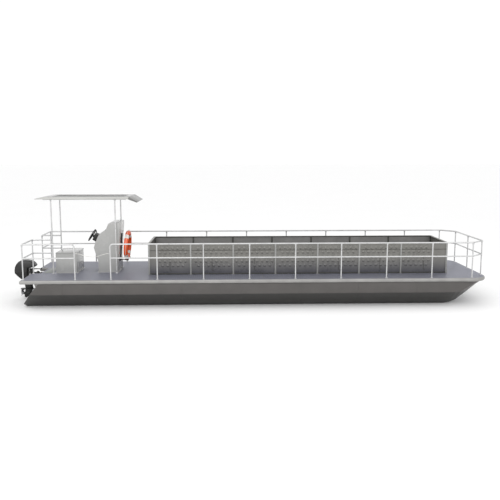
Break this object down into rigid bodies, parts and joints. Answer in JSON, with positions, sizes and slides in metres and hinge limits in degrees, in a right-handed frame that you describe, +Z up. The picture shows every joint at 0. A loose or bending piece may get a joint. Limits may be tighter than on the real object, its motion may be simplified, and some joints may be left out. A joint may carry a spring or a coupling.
{
  "type": "trash skimmer boat",
  "caption": "Twin-pontoon aluminium work boat with a long open bin of dimpled sheet, stern helm under a flat canopy, guard rails, gate ropes and an outboard motor.",
  "frame": {"origin": "on the floor under the middle of the whole boat's box, with the flat keels at z = 0", "axes": "+X to the bow, +Y to port, +Z up"},
  "size_m": [12.459, 2.94, 2.778],
  "materials": {
    "bin_sheet": "dull grey dimpled sheet",
    "rail_tube": "polished tube",
    "roof_sheet": "light grey satin paint",
    "grey_panel": "grey gloss paint",
    "bare_aluminium": "mill finish",
    "chequer_plate": "chequered tread plate",
    "rope": "white rope",
    "hull_paint": "dark grey satin paint",
    "ring_shell": "orange ring with white bands",
    "motor_black": "black gloss paint",
    "black_plastic": "black moulding"
  },
  "bodies": {
    "boat": {"bin_end_aft": "bin_sheet", "bin_end_fore": "bin_sheet", "bin_floor": "bin_sheet", "bin_side_port": "bin_sheet", "bin_side_starboard": "bin_sheet", "canopy_post_aft_port": "rail_tube", "canopy_post_aft_starboard": "rail_tube", "canopy_post_fore_port": "rail_tube", "canopy_post_fore_starboard": "rail_tube", "canopy_roof": "roof_sheet", "console": "grey_panel", "deck_edge_bow": "bare_aluminium", "deck_edge_notch_fore": "bare_aluminium", "deck_edge_notch_port": "bare_aluminium", "deck_edge_notch_starboard": "bare_aluminium", "deck_edge_port": "bare_aluminium", "deck_edge_starboard": "bare_aluminium", "deck_edge_stern_port": "bare_aluminium", "deck_edge_stern_starboard": "bare_aluminium", "deck_frame": "bare_aluminium", "deck_frame_stern_port": "bare_aluminium", "deck_frame_stern_starboard": "bare_aluminium", "deck_plate": "chequer_plate", "deck_plate_stern_port": "chequer_plate", "deck_plate_stern_starboard": "chequer_plate", "gate_rope_port": "rope", "gate_rope_starboard": "rope", "helm_box": "black_plastic", "hull_port": "hull_paint", "hull_starboard": "hull_paint", "life_ring": "ring_shell", "life_ring_bracket": "black_plastic", "motor_bracket": "motor_black", "motor_transom": "bare_aluminium", "rail_bow": "rail_tube", "rail_quarter_port": "rail_tube", "rail_quarter_starboard": "rail_tube", "rail_side_aft_port": "rail_tube", "rail_side_aft_starboard": "rail_tube", "rail_side_fore_port": "rail_tube", "rail_side_fore_starboard": "rail_tube", "rail_stern_port": "rail_tube", "rail_stern_starboard": "rail_tube", "seat_locker": "grey_panel", "stern_plate": "bare_aluminium", "throttle_lever": "black_plastic", "transom_gusset_port": "bare_aluminium", "transom_gusset_starboard": "bare_aluminium"},
    "lid": {"seat_lid": "grey_panel"},
    "wheel": {"steering_wheel": "black_plastic"},
    "swivel": {"motor_swivel": "motor_black"},
    "motor": {"motor_cowl": "motor_black", "motor_leg": "motor_black", "steering_arm": "motor_black"},
    "screw": {"propeller": "motor_black"}
  },
  "joints": [
    {"name": "seat_lid_hinge", "type": "hinge", "parent": "boat", "child": "lid", "pos_m": [-5.0325, 0, 1.273], "axis": [0, -1, 0], "range_deg": [0, 90]},
    {"name": "wheel_turn", "type": "hinge", "parent": "boat", "child": "wheel", "pos_m": [-4.1435, 0, 1.715], "axis": [-0.848, 0, 0.5299], "range_deg": [-540, 540]},
    {"name": "motor_tilt", "type": "hinge", "parent": "boat", "child": "swivel", "pos_m": [-5.6705, 0, 0.69], "axis": [0, 1, 0], "range_deg": [0, 60]},
    {"name": "motor_steer", "type": "hinge", "parent": "swivel", "child": "motor", "pos_m": [-5.7805, 0, 0.69], "axis": [0, 0, 1], "range_deg": [-30, 30]},
    {"name": "propeller_spin", "type": "hinge", "parent": "motor", "child": "screw", "pos_m": [-6.0805, 0, 0.13], "axis": [1, 0, 0], "continuous": true}
  ],
  "couplings": [
    {"joint": "wheel_turn", "follows": "motor_steer", "ratio": -18}
  ]
}
